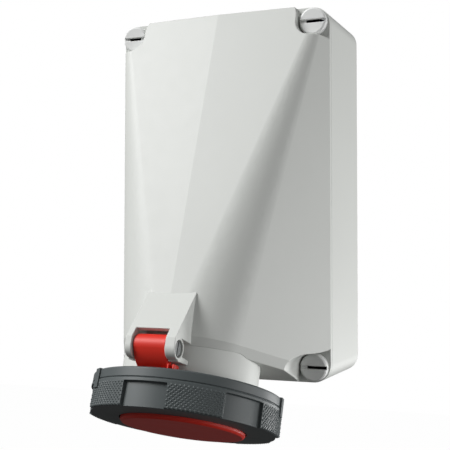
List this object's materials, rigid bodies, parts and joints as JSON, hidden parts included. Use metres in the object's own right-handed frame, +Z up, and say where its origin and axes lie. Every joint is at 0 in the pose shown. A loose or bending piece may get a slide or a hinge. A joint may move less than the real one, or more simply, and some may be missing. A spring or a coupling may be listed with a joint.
{
  "type": "industrial wall socket",
  "caption": "Wall-mounted industrial power socket with a sloping hood, a tilted round outlet and a hinged lid with a bayonet locking ring.",
  "frame": {"origin": "centre of the four wall holes on the flat back face of the box", "axes": "+Y into the wall, +Z up, +X to the right for someone facing the wall"},
  "size_m": [0.17, 0.209, 0.3286],
  "materials": {
    "housing": "fine satin texture, light grey",
    "red_plastic": "satin, signal red",
    "ring_plastic": "satin, dark grey",
    "screw_plastic": "satin, light grey",
    "seal": "matt, black",
    "brass": "turned",
    "nickel": "nickel plated",
    "steel": "bright zinc plated",
    "carrier": "matt, dark grey insulating plastic"
  },
  "bodies": {
    "housing": {"back_box": "housing", "post_inserts": "brass", "cover": "housing", "cover_gasket": "seal", "cover_screws": "screw_plastic", "screw_seals": "seal", "blanking_plug": "screw_plastic", "plug_seal": "seal", "socket_collar": "housing", "contact_carrier": "carrier", "carrier_clamp": "carrier", "carrier_gasket": "seal", "carrier_screws": "steel", "contact_pilot": "nickel", "contact_earth": "nickel", "contact_line_1": "nickel", "contact_line_2": "nickel", "contact_line_3": "nickel", "contact_neutral": "nickel", "sleeve_rings": "steel", "clamp_screws": "steel", "contact_plate": "carrier", "plate_screws": "steel", "hinge_pin": "screw_plastic"},
    "lid": {"lid": "red_plastic", "lid_gasket": "seal", "lid_spring": "steel"},
    "ring": {"locking_ring": "ring_plastic", "ring_clip": "steel"}
  },
  "joints": [
    {"name": "lid_hinge", "type": "hinge", "parent": "housing", "child": "lid", "pos_m": [0, -0.19136, -0.10438], "axis": [-1, 0, 0], "range_deg": [0, 120], "stiffness_Nm_per_rad": 0.1, "springref_deg": -103.13},
    {"name": "ring_turn", "type": "hinge", "parent": "lid", "child": "ring", "pos_m": [0, -0.13185, -0.11778], "axis": [0, -0.3535, -0.9354], "range_deg": [-35, 0]}
  ]
}
